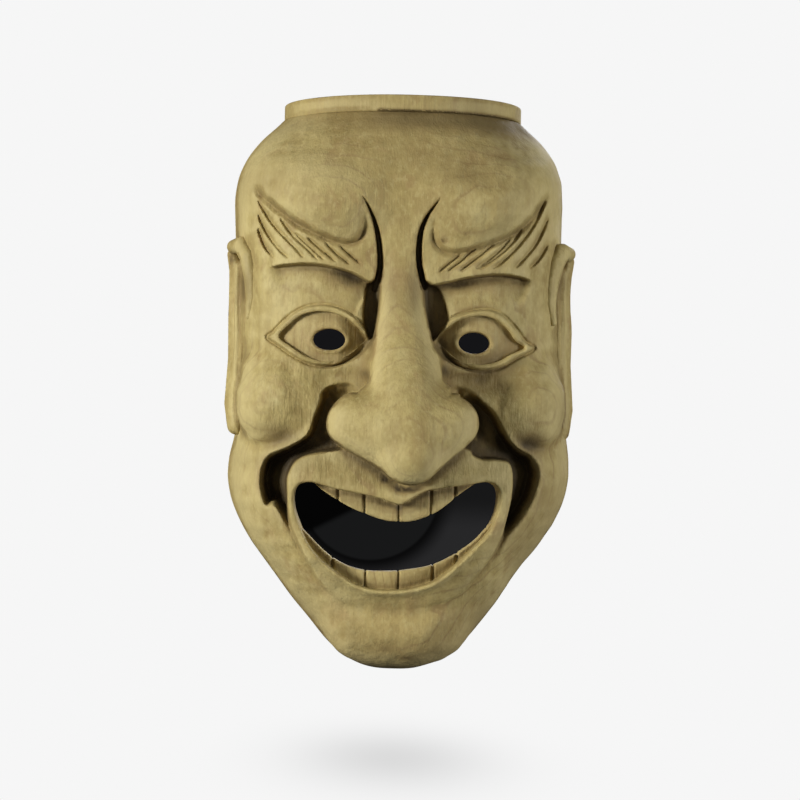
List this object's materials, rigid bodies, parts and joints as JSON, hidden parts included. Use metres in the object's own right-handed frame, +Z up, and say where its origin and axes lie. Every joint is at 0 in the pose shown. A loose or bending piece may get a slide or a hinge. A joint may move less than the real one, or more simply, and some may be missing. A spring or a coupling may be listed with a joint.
{
  "type": "noh mask",
  "caption": "Carved bare-wood noh mask of a laughing old man with a large nose, knotted brows and an open toothed mouth, hollowed behind for the wearer's face.",
  "frame": {"origin": "middle of the back plane, where the wearer's face goes in", "axes": "+Z up to the crown, -Y out of the face towards the audience, +X to the right of someone who looks at the face"},
  "size_m": [0.1394, 0.1, 0.2292],
  "materials": {
    "face_wood": "bare, knife-cut, satin",
    "eye_wood": "bare, knife-cut, satin",
    "teeth_wood": "bare, knife-cut, satin",
    "peg_wood": "split bamboo"
  },
  "bodies": {
    "root": {"face_shell": "face_wood", "crown_rim": "face_wood", "ear_left": "face_wood", "ear_right": "face_wood", "eyeball_left": "eye_wood", "eyeball_right": "eye_wood", "upper_teeth": "teeth_wood", "lower_teeth": "teeth_wood", "crown_pegs": "peg_wood", "ear_pegs_left": "peg_wood", "ear_pegs_right": "peg_wood"}
  },
  "joints": []
}
